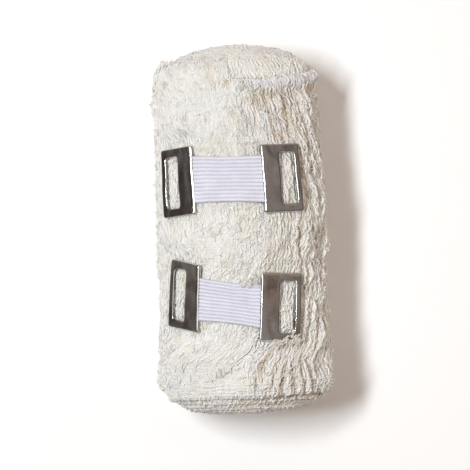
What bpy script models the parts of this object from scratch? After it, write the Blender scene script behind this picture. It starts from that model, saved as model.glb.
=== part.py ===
"""A crepe bandage, wound into a roll and held by two stretch clips.

The roll lies on its side on a surface at Z = 0. Its axis runs along Y and +Z is up.
An angle around the roll starts at its top and grows towards +X. A station is a place
along its axis, and it grows towards +Y. Lengths are in millimetres until the end,
where each mesh is made in metres.
"""

import math

import bmesh
import bpy
from mathutils import Matrix, Vector

MM = 0.001

# The wound cloth, seen from above: how far it reaches to the left and to the right of
# the origin at each station, at the middle of its last turn's thickness. The clips pinch
# it at about 24 and at about -20.
OUTLINE = (
    # station, left, right
    (-45.0, 25.0, 25.8),
    (-33.0, 24.6, 25.3),
    (-21.0, 24.0, 24.9),
    (-8.0, 23.9, 25.3),
    (3.0, 23.8, 25.7),
    (14.0, 23.7, 25.4),
    (24.0, 23.2, 25.1),
    (33.0, 23.8, 24.7),
    (45.0, 23.1, 24.7),
)
HEIGHT_SHARE = 0.965
FLAT_SPOT_DEPTH = 0.8

# The two ends, where the inner turns have slid a little further out than the outer ones.
LOWER_END = (
    # share of the radius, station
    (0.00, -53.8),
    (0.40, -53.4),
    (0.62, -52.9),
    (0.80, -51.6),
    (0.90, -49.9),
    (0.97, -47.4),
    (1.00, -44.6),
)
UPPER_END = (
    # share of the radius, station
    (0.00, 53.8),
    (0.20, 53.5),
    (0.42, 52.4),
    (0.64, 51.5),
    (0.82, 50.2),
    (0.92, 48.3),
    (0.98, 46.0),
    (1.00, 43.4),
)

# The last turn of cloth: its thickness, where its cut end lies, and where its lower
# selvedge lies, which has slid up from the rim for half a turn back from the cut end.
TURN = 1.3
CUT_END = (
    # station, angle
    (-39.0, -7.0),
    (-35.0, 3.0),
    (-29.0, 9.0),
    (-12.0, 16.0),
    (-2.0, 17.0),
    (12.0, 15.0),
    (29.0, 7.5),
    (42.0, -2.0),
    (48.0, -6.0),
)
LOWER_SELVEDGE = (
    # angle, station
    (-150.0, -50.5),
    (-95.0, -47.0),
    (-60.0, -44.8),
    (-30.0, -43.8),
    (-14.0, -42.8),
    (-6.0, -39.0),
)
SELVEDGE_STEP = 1.5
SELVEDGE_TURN = 0.5
SELVEDGE_FADE = 0.1

# Places where the cloth bulges between the clips or is drawn in beside them.
SWELLS = (
    # station, angle, height, reach along, reach around
    (32.0, -42.0, 0.9, 6.0, 20.0),
    (31.0, -4.0, 0.6, 6.0, 15.0),
    (26.0, 34.0, -0.5, 5.0, 22.0),
    (-3.0, -34.0, 0.7, 7.0, 24.0),
    (-4.0, 34.0, 0.5, 8.0, 22.0),
    (-36.0, -38.0, 0.8, 6.0, 26.0),
    (-37.0, 22.0, 0.5, 6.0, 20.0),
)

# A clip plate: sheet metal with edges turned down, and one window off its middle.
PLATE_WIDTH = 13.1
PLATE_LENGTH = 19.9
PLATE_DEPTH = 1.1
PLATE_CORNER = 0.8
SHEET = 0.35
BEND = 0.4
WINDOW_WIDTH = 5.0
WINDOW_LENGTH = 14.8
WINDOW_CORNER = 0.9
WINDOW_BEND = 0.35
WINDOW_DEPTH = 0.75
OUTER_BAR = 1.9
PLATE_RISE = 0.5
PLATES = (
    # name, angle, station, lean outwards, twist in its plane, pitch of its length, window's side
    ("upper_left_plate", -47.0, 14.2, 1.5, 1.0, -4.0, "left"),
    ("upper_right_plate", 29.5, 14.0, 2.5, 2.5, -4.0, "right"),
    ("lower_left_plate", -45.0, -18.8, -5.0, -7.8, 2.3, "left"),
    ("lower_right_plate", 25.2, -23.1, 1.5, -4.7, 1.8, "right"),
)

# The elastic of a clip: a ribbed band that is drawn narrower where it stretches.
BAND_THICKNESS = 0.8
BAND_RISE = 0.7
BANDS = (
    # name, left plate, right plate, width at the plates, width half-way
    ("upper_elastic", "upper_left_plate", "upper_right_plate", 13.6, 13.0),
    ("lower_elastic", "lower_left_plate", "lower_right_plate", 12.4, 11.6),
)

BAND_GAP = 0.5
CLOTH_GAP = 0.45
PRESS_MARGIN = 1.8
PRESS_FADE = 3.5
PRESSED_SHARE = 0.9

ROLL_SEGMENTS = 64
ROLL_BODY_ROWS = 26
END_SHARES = (0.0, 0.22, 0.45, 0.66, 0.82, 0.92, 0.98)
CUT_END_CROWDING = 0.45
ON_CUT_END = 0.01
CORNER_STEPS = 3
BAND_STEPS = 12
BAND_STRIPS = 4

COLOURS = {
    # colour, roughness, metallic
    "crepe": ((0.80, 0.76, 0.70), 0.9, 0.0),
    "plate": ((0.55, 0.53, 0.51), 0.2, 1.0),
    "band": ((0.76, 0.75, 0.83), 0.7, 0.0),
}


def clear_scene():
    for thing in list(bpy.data.objects):
        bpy.data.objects.remove(thing, do_unlink=True)


def new_material(name):
    colour, roughness, metallic = COLOURS[name]
    material = bpy.data.materials.new(name)
    material.use_nodes = True
    shader = material.node_tree.nodes["Principled BSDF"]
    shader.inputs["Base Color"].default_value = (*colour, 1.0)
    shader.inputs["Roughness"].default_value = roughness
    shader.inputs["Metallic"].default_value = metallic
    return material


def new_object(name, mesh, collection, material):
    thing = bpy.data.objects.new(name, mesh)
    if not mesh.materials:
        mesh.materials.append(material)
    collection.objects.link(thing)
    return thing


def ease(share):
    share = min(max(share, 0.0), 1.0)
    return share * share * (3.0 - 2.0 * share)


def slopes(rows, index):
    """How fast each value of a table changes at one of its rows."""
    before = rows[max(index - 1, 0)]
    after = rows[min(index + 1, len(rows) - 1)]
    return [(b - a) / (after[0] - before[0]) for a, b in zip(before[1:], after[1:])]


def read_row(rows, position):
    """The values of a table at a position, on a smooth curve through its rows, level past its ends."""
    if position <= rows[0][0]:
        return rows[0][1:]
    if position >= rows[-1][0]:
        return rows[-1][1:]
    index = max(i for i in range(len(rows) - 1) if rows[i][0] <= position)
    start, end = rows[index], rows[index + 1]
    run = end[0] - start[0]
    share = (position - start[0]) / run
    leaving = run * share * (1.0 - share) ** 2
    arriving = run * share**2 * (1.0 - share)
    values = zip(start[1:], end[1:], slopes(rows, index), slopes(rows, index + 1))
    return tuple(
        a + (b - a) * ease(share) + slope_a * leaving - slope_b * arriving
        for a, b, slope_a, slope_b in values
    )


def section(station):
    """The roll's cross-section: its centre in X and Z, its half width and its half height."""
    left, right = read_row(OUTLINE, station)
    half_width = (left + right) / 2
    half_height = half_width * HEIGHT_SHARE
    return (right - left) / 2, half_height - FLAT_SPOT_DEPTH, half_width, half_height


def turned_back(angle, station):
    """The share of a whole turn from the cut end back to this angle, under the last turn."""
    return ((read_row(CUT_END, station)[0] - angle) / 360.0) % 1.0


def bared(angle, station):
    """1 where the last turn's lower selvedge has slid up and bares the turn below, else 0."""
    within = ease((SELVEDGE_TURN - turned_back(angle, station)) / SELVEDGE_FADE)
    shy = read_row(LOWER_SELVEDGE, angle)[0] - station
    return within * ease(shy / SELVEDGE_STEP)


def swell(angle, station):
    total = 0.0
    for place, turn, height, along, around in SWELLS:
        away = math.hypot((station - place) / along, (angle - turn) / around)
        total += height * math.exp(-away * away)
    return total


def direction(angle):
    return Vector((math.sin(math.radians(angle)), 0.0, math.cos(math.radians(angle))))


def free_form(angle, station, share=1.0):
    """A point of the wound cloth before the clips press on it. The share is of its radius."""
    centre_x, centre_z, half_width, half_height = section(station)
    layer = TURN * (0.5 - turned_back(angle, station) - bared(angle, station))
    rise = (layer + swell(angle, station)) * ease(share)
    outward = direction(angle)
    return Vector(
        (
            centre_x + outward.x * (half_width * share + rise),
            station,
            centre_z + outward.z * (half_height * share + rise),
        )
    )


def plate_matrix(angle, station, lean, twist, pitch, side):
    """The frame of a plate: X across it towards its window, Y along it, Z out of the roll."""
    centre_x, centre_z, half_width, half_height = section(station)
    outward = direction(angle)
    foot = Vector((centre_x + outward.x * half_width, station, centre_z + outward.z * half_height))
    half_turn = 180.0 if side == "left" else 0.0
    return (
        Matrix.Translation(foot + outward * PLATE_RISE)
        @ Matrix.Rotation(math.radians(pitch), 4, "X")
        @ Matrix.Rotation(math.radians(angle + lean), 4, "Y")
        @ Matrix.Rotation(math.radians(twist + half_turn), 4, "Z")
    )


def band_point(along, across, band, height=0.0):
    """A point of a band. Along runs from 0 at its left plate to 1, across from -1 to 1."""
    left, right, width_at_plates, width_half_way = band
    hem = Vector((-PLATE_WIDTH / 2 - BAND_GAP, 0.0, -PLATE_DEPTH / 2))
    start = left @ hem
    end = right @ hem
    chord = end - start
    outward = Vector((-chord.z, 0.0, chord.x)).normalized()
    centre_x, centre_z, _, half_height = section((start.y + end.y) / 2)
    crown = Vector((centre_x, 0.0, centre_z)) + outward * (half_height + BAND_RISE)
    bulge = (crown - (start + end) / 2).dot(outward)
    bow = 4.0 * along * (1.0 - along)
    bend = 4.0 * bulge * (1.0 - 2.0 * along) / chord.length
    normal = (outward - chord.normalized() * bend).normalized()
    lengthwise = (right.col[1].xyz * along - left.col[1].xyz * (1.0 - along)).normalized()
    width = width_at_plates + (width_half_way - width_at_plates) * bow
    centre = start + chord * along + outward * (bulge * bow)
    return centre + lengthwise * (across * width / 2) + normal * height


def press_under_plate(point, frame, inverse):
    """Moves a point of the cloth to just below the plate, where the plate lies over it."""
    local = inverse @ point
    beyond = max(abs(local.x) - PLATE_WIDTH / 2, abs(local.y) - PLATE_LENGTH / 2)
    strength = 1.0 - ease((beyond - PRESS_MARGIN) / PRESS_FADE)
    too_high = local.z + PLATE_DEPTH + CLOTH_GAP
    if strength > 0.0 and too_high > 0.0:
        local.z -= too_high * strength
        return frame @ local
    return point


def press_under_band(point, band):
    """Moves a point of the cloth down to just below the band, where the band lies over it."""
    below = -BAND_THICKNESS / 2 - CLOTH_GAP
    start = band_point(0.0, 0.0, band, below)
    end = band_point(1.0, 0.0, band, below)
    if not start.x < point.x < end.x:
        return point
    along = (point.x - start.x) / (end.x - start.x)
    for _ in range(2):
        over = band_point(along, 0.0, band, below)
        along += (point.x - over.x) / (end.x - start.x)
    half_width = band[2] / 2
    across = min(max((point.y - over.y) / half_width, -1.0), 1.0)
    over = band_point(along, across, band, below)
    strength = 1.0 - ease((abs(point.y - over.y) - PRESS_MARGIN) / PRESS_FADE)
    if strength > 0.0 and point.z > over.z:
        point.z -= (point.z - over.z) * strength
    return point


def cloth_point(angle, station, share, frames, bands):
    point = free_form(angle, station, share)
    if share > PRESSED_SHARE:
        for frame, inverse in frames:
            point = press_under_plate(point, frame, inverse)
        for band in bands:
            point = press_under_band(point, band)
    point.z = max(point.z, 0.0)
    return point


def roll_rows():
    """The rows of the roll's mesh from its lower end to its upper end: (share, station)."""
    lower = [(share, read_row(LOWER_END, share)[0]) for share in END_SHARES]
    upper = [(share, read_row(UPPER_END, share)[0]) for share in reversed(END_SHARES)]
    first = LOWER_END[-1][1]
    pitch = (UPPER_END[-1][1] - first) / ROLL_BODY_ROWS
    body = [(1.0, first + pitch * step) for step in range(ROLL_BODY_ROWS + 1)]
    return lower + body + upper


def crowded_angle(longitude, station):
    """An angle for a meridian of the roll's mesh: the first is just on the cut end, the next are close by."""
    crowding = CUT_END_CROWDING * math.sin(longitude)
    return read_row(CUT_END, station)[0] - math.degrees(longitude - crowding) - ON_CUT_END


def make_roll(collection, frames, bands):
    """A sphere whose meridians run from end to end of the roll, moved out to the wound form."""
    rows = roll_rows()
    shape = bmesh.new()
    bmesh.ops.create_uvsphere(
        shape, u_segments=ROLL_SEGMENTS, v_segments=len(rows) - 1, radius=1.0
    )
    for vertex in shape.verts:
        latitude = math.asin(min(max(vertex.co.z, -1.0), 1.0))
        row = round((latitude / math.pi + 0.5) * (len(rows) - 1))
        share, station = rows[row]
        longitude = math.atan2(vertex.co.y, vertex.co.x) % math.tau
        angle = crowded_angle(longitude, station)
        signed = (angle + 180.0) % 360.0 - 180.0
        vertex.co = cloth_point(signed, station, share, frames, bands) * MM
    bmesh.ops.recalc_face_normals(shape, faces=shape.faces)
    mesh = bpy.data.meshes.new("crepe_roll")
    shape.to_mesh(mesh)
    shape.free()
    mesh.shade_smooth()
    return new_object("crepe_roll", mesh, collection, new_material("crepe"))


def rounded_rectangle(half_x, half_y, corner, centre_x, height):
    """The points of a rectangle with round corners, anticlockwise, at one height."""
    points = []
    for quarter in range(4):
        sign_x = 1.0 if quarter in (0, 3) else -1.0
        sign_y = 1.0 if quarter in (0, 1) else -1.0
        for step in range(CORNER_STEPS + 1):
            turn = math.radians(90.0 * (quarter + step / CORNER_STEPS))
            x = centre_x + sign_x * (half_x - corner) + corner * math.cos(turn)
            y = sign_y * (half_y - corner) + corner * math.sin(turn)
            points.append(Vector((x, y, height)) * MM)
    return points


def plate_rings():
    """The outer face of a plate as rings, from the foot of its rim over its top into its window."""
    half_x = PLATE_WIDTH / 2
    half_y = PLATE_LENGTH / 2
    window_x = half_x - OUTER_BAR - WINDOW_WIDTH / 2
    rings = [rounded_rectangle(half_x, half_y, PLATE_CORNER, 0.0, -PLATE_DEPTH)]
    for turn in (0.0, 45.0, 90.0):
        inset = BEND * (1.0 - math.cos(math.radians(turn)))
        drop = BEND * (1.0 - math.sin(math.radians(turn)))
        rings.append(rounded_rectangle(half_x - inset, half_y - inset, PLATE_CORNER - inset, 0.0, -drop))
    for turn in (90.0, 45.0, 0.0):
        inset = WINDOW_BEND * (1.0 - math.cos(math.radians(turn)))
        drop = WINDOW_BEND * (1.0 - math.sin(math.radians(turn)))
        rings.append(
            rounded_rectangle(
                WINDOW_WIDTH / 2 + inset, WINDOW_LENGTH / 2 + inset, WINDOW_CORNER + inset, window_x, -drop
            )
        )
    rings.append(
        rounded_rectangle(WINDOW_WIDTH / 2, WINDOW_LENGTH / 2, WINDOW_CORNER, window_x, -WINDOW_DEPTH)
    )
    return rings


def plate_mesh():
    shape = bmesh.new()
    rings = [[shape.verts.new(point) for point in ring] for ring in plate_rings()]
    for lower, upper in zip(rings, rings[1:]):
        for index in range(len(lower)):
            after = (index + 1) % len(lower)
            shape.faces.new((lower[index], lower[after], upper[after], upper[index]))
    mesh = bpy.data.meshes.new("clip_plate")
    shape.to_mesh(mesh)
    shape.free()
    mesh.shade_smooth()
    return mesh


def make_plates(collection, matrices):
    mesh = plate_mesh()
    material = new_material("plate")
    for name, matrix in matrices.items():
        plate = new_object(name, mesh, collection, material)
        plate.matrix_world = Matrix.Translation(matrix.translation * MM) @ matrix.to_3x3().to_4x4()
        sheet = plate.modifiers.new("sheet", "SOLIDIFY")
        sheet.thickness = SHEET * MM
        sheet.offset = -1.0
        sheet.use_even_offset = True


def make_band(name, band, collection, material):
    """A band is a grid over its length and width, given its thickness by Solidify."""
    shape = bmesh.new()
    bmesh.ops.create_grid(shape, x_segments=BAND_STEPS, y_segments=BAND_STRIPS, size=1.0)
    for vertex in shape.verts:
        along = (vertex.co.x + 1.0) / 2
        vertex.co = band_point(along, vertex.co.y, band) * MM
    mesh = bpy.data.meshes.new(name)
    shape.to_mesh(mesh)
    shape.free()
    mesh.shade_smooth()
    strip = new_object(name, mesh, collection, material)
    sheet = strip.modifiers.new("band", "SOLIDIFY")
    sheet.thickness = BAND_THICKNESS * MM
    sheet.offset = 0.0
    sheet.use_even_offset = True


def main():
    clear_scene()
    collection = bpy.data.collections.new("crepe_bandage_roll")
    bpy.context.scene.collection.children.link(collection)
    matrices = {name: plate_matrix(*place) for name, *place in PLATES}
    bands = {
        name: (matrices[left], matrices[right], at_plates, half_way)
        for name, left, right, at_plates, half_way in BANDS
    }
    frames = [(matrix, matrix.inverted()) for matrix in matrices.values()]
    make_roll(collection, frames, list(bands.values()))
    make_plates(collection, matrices)
    material = new_material("band")
    for name, band in bands.items():
        make_band(name, band, collection, material)


main()
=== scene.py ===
"""The looks of a crepe bandage roll: wound cloth, its yarns, two elastic clips, floor, light, camera.

An angle around the roll starts at its top and grows towards +X. A station is a place along its
axis, which grows towards +Y. A length is a place along the cloth, counted back from its cut end,
with ROUND of it to a turn. All is in millimetres until a mesh is made.
"""

import math
from math import pi, tau

import bpy
import numpy as np
from mathutils import Matrix, Vector
from numpy.random import default_rng as seeded

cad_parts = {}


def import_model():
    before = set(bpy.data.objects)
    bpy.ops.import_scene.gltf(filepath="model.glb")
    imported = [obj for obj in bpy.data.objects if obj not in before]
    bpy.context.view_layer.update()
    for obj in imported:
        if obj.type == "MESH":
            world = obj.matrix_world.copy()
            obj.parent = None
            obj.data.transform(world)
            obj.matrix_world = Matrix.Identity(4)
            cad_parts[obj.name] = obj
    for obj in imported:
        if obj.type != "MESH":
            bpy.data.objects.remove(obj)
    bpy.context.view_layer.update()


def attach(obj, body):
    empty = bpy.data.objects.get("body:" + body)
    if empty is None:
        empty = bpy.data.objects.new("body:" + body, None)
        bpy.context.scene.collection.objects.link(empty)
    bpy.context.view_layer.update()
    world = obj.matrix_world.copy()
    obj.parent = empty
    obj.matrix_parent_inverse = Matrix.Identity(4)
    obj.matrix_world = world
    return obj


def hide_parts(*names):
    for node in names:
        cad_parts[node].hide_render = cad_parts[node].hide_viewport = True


MM = 0.001

# The form of the roll, as it was modelled.
OUTLINE = (
    # station, left, right
    (-45, 25, 25.8), (-33, 24.6, 25.3), (-21, 24, 24.9), (-8, 23.9, 25.3), (3, 23.8, 25.7),
    (14, 23.7, 25.4), (24, 23.2, 25.1), (33, 23.8, 24.7), (45, 23.1, 24.7),
)
HEIGHT_SHARE = 0.965
FLAT_SPOT_DEPTH = 0.8
TURN = 1.3
CUT_END = (
    # station, angle
    (-39, -7), (-35, 3), (-29, 9), (-12, 16), (-2, 17),
    (12, 15), (29, 7.5), (42, -2), (48, -6),
)
SWELLS = (
    # station, angle, height, reach along, reach around
    (32, -42, 0.9, 6, 20), (31, -4, 0.6, 6, 15), (26, 34, -0.5, 5, 22), (-3, -34, 0.7, 7, 24),
    (-4, 34, 0.5, 8, 22), (-36, -38, 0.8, 6, 26), (-37, 22, 0.5, 6, 20),
)

# The clips, as they were modelled.
PLATE_WIDTH = 13.1
PLATE_LENGTH = 19.9
PLATE_DEPTH = 1.1
PLATE_CORNER = 0.8
SHEET = 0.35
WINDOW_WIDTH = 5.0
WINDOW_LENGTH = 14.8
WINDOW_CORNER = 0.9
WINDOW_DEPTH = 0.75
OUTER_BAR = 1.9
WINDOW_X = PLATE_WIDTH / 2 - OUTER_BAR - WINDOW_WIDTH / 2
PLATE_RISE = 0.5
PLATES = dict(
    # Angle, station, lean outwards, turn in its plane and pitch; widths of the bends by the elastic,
    # opposite it, and at the upper and the lower end; those of the window; twist, as height for an area.
    upper_left_plate=((-47, 14.2, 1.5, 1, -4), (1, 0.5, 0.5, 0.7), (0.5, 0.2, 0.6, 0.7), 0.003),
    upper_right_plate=((29.5, 14, 2.5, 2.5, -4), (0.35, 0.7, 0.6, 0.8), (0.9, 0.2, 0.6, 0.9), -0.0028),
    lower_left_plate=((-45, -18.8, -5, -7.8, 2.3), (0.75, 0.5, 0.6, 0.6), (0.6, 0.2, 0.6, 0.6), 0.003),
    lower_right_plate=((25.2, -23.1, 1.5, -4.7, 1.8), (0.25, 0.7, 1.3, 0.6), (0.9, 0.15, 0.8, 0.7), -0.0015),
)
BAND_THICKNESS = 0.8
BAND_RISE = 0.7
BAND_GAP = 0.5
# Width of each band at its plates and half-way.
BANDS = {"upper": (13.6, 13.0), "lower": (12.4, 11.6)}
CLOTH_GAP = 0.45
PRESS_MARGIN = 1.8
PRESS_FADE = 3.5
PRESS_REACH = 12.0

EDGE_DROP = 0.9
WINDOW_DROP = 0.6
CORNER_POINTS = 7
SIDE_POINTS = 12
BEND_STEPS = 7
RIBS = 12

# The cloth, wound from its core out to its cut end.
ROUND = 154.0
TURNS = 17.2
OUTER_TURNS = 1.14
RADIUS = 24.3
CLOTH_THICKNESS = 0.8
# How much deeper the wound turns lie half-way, hidden and pressed down by the clips.
HIDDEN_SINK = 2.2
# The rims of the roll: share of the radius, station.
UPPER_RIM = ((0, 53.8), (0.25, 53.4), (0.42, 52.9), (0.64, 51.8), (0.8, 50.5), (0.9, 48.9), (1, 47.8))
LOWER_RIM = ((0, -53.7), (0.45, -53.4), (0.66, -52.8), (0.8, -51.8), (0.9, -50.1), (0.95, -48.7), (1, -47.8))
# Where the last turn's selvedges leave the rims.
LAST_UPPER = (
    # turns back from the cut end, station
    (0, 48.3), (0.6, 48.4), (0.76, 45.2), (0.82, 44), (0.89, 43.3),
    (0.95, 42.6), (1, 43), (1.05, 45.5), (1.12, 48.4),
)
LAST_LOWER = ((0, -38.6), (0.03, -42.4), (0.07, -43.9), (0.15, -44.6), (0.25, -46.8), (0.42, -48.2))
# Creases of the cloth: carved into it, with painted shade darkening their colour.
CREASES = (
    # station, turns back from the cut end, reach along, reach around, depth
    (41.5, 0.010, 2, 1.3, 1), (32.5, 0.017, 2.2, 1, 0.45), (43.7, 0.043, 1.6, 1.4, 0.4),
    (36.6, 0.960, 2.2, 4, 0.55), (30, 0.900, 4.5, 4, 0.35), (33.4, 0.907, 3, 0.9, 0.8),
    (31, 0.940, 2.5, 0.8, 0.5), (26, 0.940, 1.4, 2.2, 0.7), (29.5, 0.980, 2.2, 1, 0.5),
    (13.9, 0.899, 9, 1.2, 0.7), (-7, 0.997, 5, 1, 0.6), (-11.7, 0.990, 1.6, 2.6, 0.5),
    (-34.6, 0.930, 1.6, 0.9, 0.5), (-33.3, 0.900, 2.2, 1, 0.8), (-43.8, 0.893, 3.5, 0.9, 0.8),
    (-44.6, 0.917, 3, 0.8, 0.6), (-41.6, 0.030, 0.9, 3, 0.4),
)
# Where loose loops snarl up.
SNARLS = (
    # station, turns back from the cut end, lift
    (-10.6, 0.872, 0.2), (-33.2, 0.930, 1.5), (-33.3, 0.912, 1.5),
    (-33, 0.950, 1.3), (-38.8, 0.890, 0.3), (-15.3, 0.022, 1.9),
    (-15.6, 0.034, 1.9), (40.5, 0.965, 0.3), (41.3, 0.985, 0.3),
)
LOOPS_PER_SNARL = 9

# How far apart things lie along the cloth.
PLEAT_PITCH = 3.5
RIDGE_PITCH = 1.25
WEAVE_PITCH = 0.75
BINDING_PITCH = 1.8
BAND_LOOP_PITCH = 1.1

# Camera and photo frame.
PIXELS_PER_MM = 3.4
IMAGE_WIDTH = 470
SENSOR_WIDTH = 36.0
CAMERA_DISTANCE = 0.95
CAMERA_TURN = -2.7
AXIS_HEIGHT = 0.0235
VIEW_CENTRE = (-1.4, -1.85)

# The studio.
WHITE = (1.0, 1.0, 1.0)
FLOOR_REACH = 1500.0
ROOM_RADIUS = 3000.0
# What the room shows on its two sides: height from 0 straight down to 1 straight up, colour.
ROOM_LEFT = (
    (0, (0.42, 0.39, 0.36)), (0.35, (0.2, 0.175, 0.16)), (0.43, (0.1, 0.085, 0.078)),
    (0.47, (0.07, 0.06, 0.056)), (0.58, (0.045, 0.042, 0.042)), (0.9, (0.12, 0.11, 0.1)),
    (0.945, (1.2, 1.2, 1.2)),
)
ROOM_RIGHT = (
    (0, (0.34, 0.31, 0.29)), (0.2, (0.2, 0.175, 0.16)), (0.32, (0.055, 0.048, 0.045)),
    (0.66, (0.16, 0.14, 0.128)), (0.745, (0.295, 0.268, 0.24)), (0.8, (0.25, 0.19, 0.16)),
    (0.86, (0.09, 0.08, 0.075)), (0.92, (0.12, 0.11, 0.1)), (0.95, (1.2, 1.2, 1.2)),
)
PANELS = (
    # name, place in metres, width, height, energy, colour
    ("key", (-0.325, 0.115, 0.94), 0.32, 0.1, 8.1, (0.875, 0.925, 0.955)),
    ("fill", (0.92, 0.2, 0.18), 0.4, 0.3, 1.3, (1, 0.93, 0.88)),
)


# ---- numbers


def ease(value, start=0.0, reach=1.0):
    """0 up to a start, 1 from a reach past it, and smooth in between."""
    share = np.clip((value - start) / reach, 0.0, 1.0)
    return share * share * (3.0 - 2.0 * share)


def fade(value, start=0.0, reach=1.0):
    return 1.0 - ease(value, start, reach)


def bell(value, middle, reach):
    offset = (value - middle) / reach
    return np.exp(-offset * offset)


def read_row(rows, position):
    """The columns of a table at positions, on a smooth curve through its rows."""
    table = np.array(rows, float)
    places, values = table[:, 0], table[:, 1:]
    padded = np.pad(table, ((1, 1), (0, 0)), "edge")
    change = padded[2:] - padded[:-2]
    slope = change[:, 1:] / change[:, :1]
    position = np.clip(np.asarray(position, float), places[0], places[-1])
    index = np.clip(np.searchsorted(places, position, side="right") - 1, 0, len(rows) - 2)
    run = places[index + 1] - places[index]
    share = (position - places[index]) / run
    leaving = (run * share * (1.0 - share) ** 2)[..., None]
    arriving = (run * share**2 * (1.0 - share))[..., None]
    rise = (values[index + 1] - values[index]) * ease(share)[..., None]
    found = values[index] + rise + slope[index] * leaving - slope[index + 1] * arriving
    return np.moveaxis(found, -1, 0)


def unit(vectors):
    return vectors / np.linalg.norm(vectors, axis=-1, keepdims=True)


def ripple(across, along, shortest, longest, seed, stretch=1.0):
    """Smooth noise of about unit size from waves with lengths in a range, longer along if stretched."""
    draw = seeded(seed)
    across, along = np.broadcast_arrays(across, along)
    total = np.zeros(across.shape)
    count = 24
    for _ in range(count):
        number = tau / math.exp(draw.uniform(math.log(shortest), math.log(longest)))
        turn = draw.uniform(0, tau)
        phase = draw.uniform(0, tau)
        wave = across * math.cos(turn) + along * math.sin(turn) / stretch
        total += np.sin(number * wave + phase)
    return total / math.sqrt(count / 2)


def wander(place, shortest, longest, draw):
    """Smooth noise of about unit size along each row of places, another one for each row."""
    shape = (len(place), 1)
    total = np.zeros(place.shape)
    count = 5
    for _ in range(count):
        length = np.exp(draw.uniform(math.log(shortest), math.log(longest), shape))
        total += np.sin(tau * place / length + draw.uniform(0, tau, shape))
    return total / math.sqrt(count / 2)


# ---- form


def section(station):
    left, right = read_row(OUTLINE, station)
    half_width = (left + right) / 2
    half_height = half_width * HEIGHT_SHARE
    return (right - left) / 2, half_height - FLAT_SPOT_DEPTH, half_width, half_height


def swell(angle, station):
    total = 0.0
    for place, turn, height, along, around in SWELLS:
        total = total + height * bell(station, place, along) * bell(angle, turn, around)
    return total


def plate_matrix(name, angle, station, lean, spin, pitch):
    """The frame of a plate: X across it towards its window, Y along it, Z out of the roll."""
    centre_x, centre_z, half_width, half_height = (float(x) for x in section(station))
    outward = Vector((math.sin(math.radians(angle)), 0.0, math.cos(math.radians(angle))))
    foot = Vector((centre_x + outward.x * half_width, station, centre_z + outward.z * half_height))
    half_turn = 180.0 if "left" in name else 0.0
    matrix = Matrix.Translation(foot + outward * PLATE_RISE)
    for turn, axis in ((pitch, "X"), (angle + lean, "Y"), (spin + half_turn, "Z")):
        matrix = matrix @ Matrix.Rotation(math.radians(turn), 4, axis)
    return np.array(matrix)


PLATE_FRAMES = {name: plate_matrix(name, *row[0]) for name, row in PLATES.items()}
BAND_FRAMES = {
    end + "_elastic": (PLATE_FRAMES[end + "_left_plate"], PLATE_FRAMES[end + "_right_plate"], *widths)
    for end, widths in BANDS.items()
}


def band_point(along, across, band, height):
    """Points of a band. Along runs from 0 at its left plate to 1, across from -1 to 1."""
    left, right, width_at_plates, width_half_way = band
    hem = np.array((-PLATE_WIDTH / 2 - BAND_GAP, 0.0, -PLATE_DEPTH / 2, 1.0))
    start = (left @ hem)[:3]
    end = (right @ hem)[:3]
    chord = end - start
    reach = np.linalg.norm(chord)
    outward = unit(np.array((-chord[2], 0.0, chord[0])))
    centre_x, centre_z, _, half_height = (float(x) for x in section((start[1] + end[1]) / 2))
    crown = np.array((centre_x, 0.0, centre_z)) + outward * (half_height + BAND_RISE)
    bulge = (crown - (start + end) / 2) @ outward
    along, across, height = np.broadcast_arrays(along, across, height)
    along = along[..., None].astype(float)
    bow = 4.0 * along * (1.0 - along)
    bend = 4.0 * bulge * (1.0 - 2.0 * along) / reach
    normal = unit(outward - chord / reach * bend)
    lengthwise = unit(right[:3, 1] * along - left[:3, 1] * (1.0 - along))
    width = width_at_plates + (width_half_way - width_at_plates) * bow
    centre = start + chord * along + outward * (bulge * bow)
    return centre + lengthwise * (across[..., None] * width / 2) + normal * height[..., None]


def press_under_plates(points, gap):
    """Moves points to below the plates. In a plate's window they may rise a little."""
    for frame in PLATE_FRAMES.values():
        x, y, z = np.moveaxis((points - frame[:3, 3]) @ frame[:3, :3], -1, 0)
        beyond = np.maximum(abs(x) - PLATE_WIDTH / 2, abs(y) - PLATE_LENGTH / 2)
        inside_x = WINDOW_WIDTH / 2 - abs(x - WINDOW_X)
        inside_y = WINDOW_LENGTH / 2 - abs(y)
        bulge = 1.3 * ease(inside_x, 0.35, 0.8) * ease(inside_y, 0.35, 0.9)
        too_high = np.maximum(z - (bulge - PLATE_DEPTH - gap), 0.0)
        strength = fade(beyond, PRESS_MARGIN, PRESS_FADE) * (z > -PRESS_REACH)
        points = points - (too_high * strength)[..., None] * frame[:3, 2]
    return points


def press_under_bands(points, gap):
    """Moves points down to below a band that lies over them."""
    below = -BAND_THICKNESS / 2 - gap
    x, y, z = np.moveaxis(points, -1, 0)
    for band in BAND_FRAMES.values():
        start, end = (band_point(place, 0.0, band, -BAND_THICKNESS / 2)[0] for place in (0.0, 1.0))
        along = np.clip((x - start) / (end - start), 0.0, 1.0)
        over = band_point(along, 0.0, band, below)
        along = np.clip(along + (x - over[..., 0]) / (end - start), 0.0, 1.0)
        over = band_point(along, 0.0, band, below)
        across = np.clip((y - over[..., 1]) / (band[2] / 2), -1.0, 1.0)
        over = band_point(along, across, band, below)
        strength = fade(abs(y - over[..., 1]), PRESS_MARGIN, PRESS_FADE)
        between = (x > start) & (x < end) & (z > over[..., 2] - PRESS_REACH)
        z = z - np.maximum(z - over[..., 2], 0.0) * strength * between
    return np.stack((x, y, z), axis=-1)


def rim_shrink(station):
    """How far the turns bend in towards the axis near the rims."""
    upper = np.minimum(0.08 * (np.maximum(station - 43.4, 0.0) / 5.0) ** 2, 0.12)
    lower = np.minimum(0.06 * (np.maximum(-station - 45.0, 0.0) / 5.0) ** 2, 0.07)
    return 1.0 - upper - lower


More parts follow.
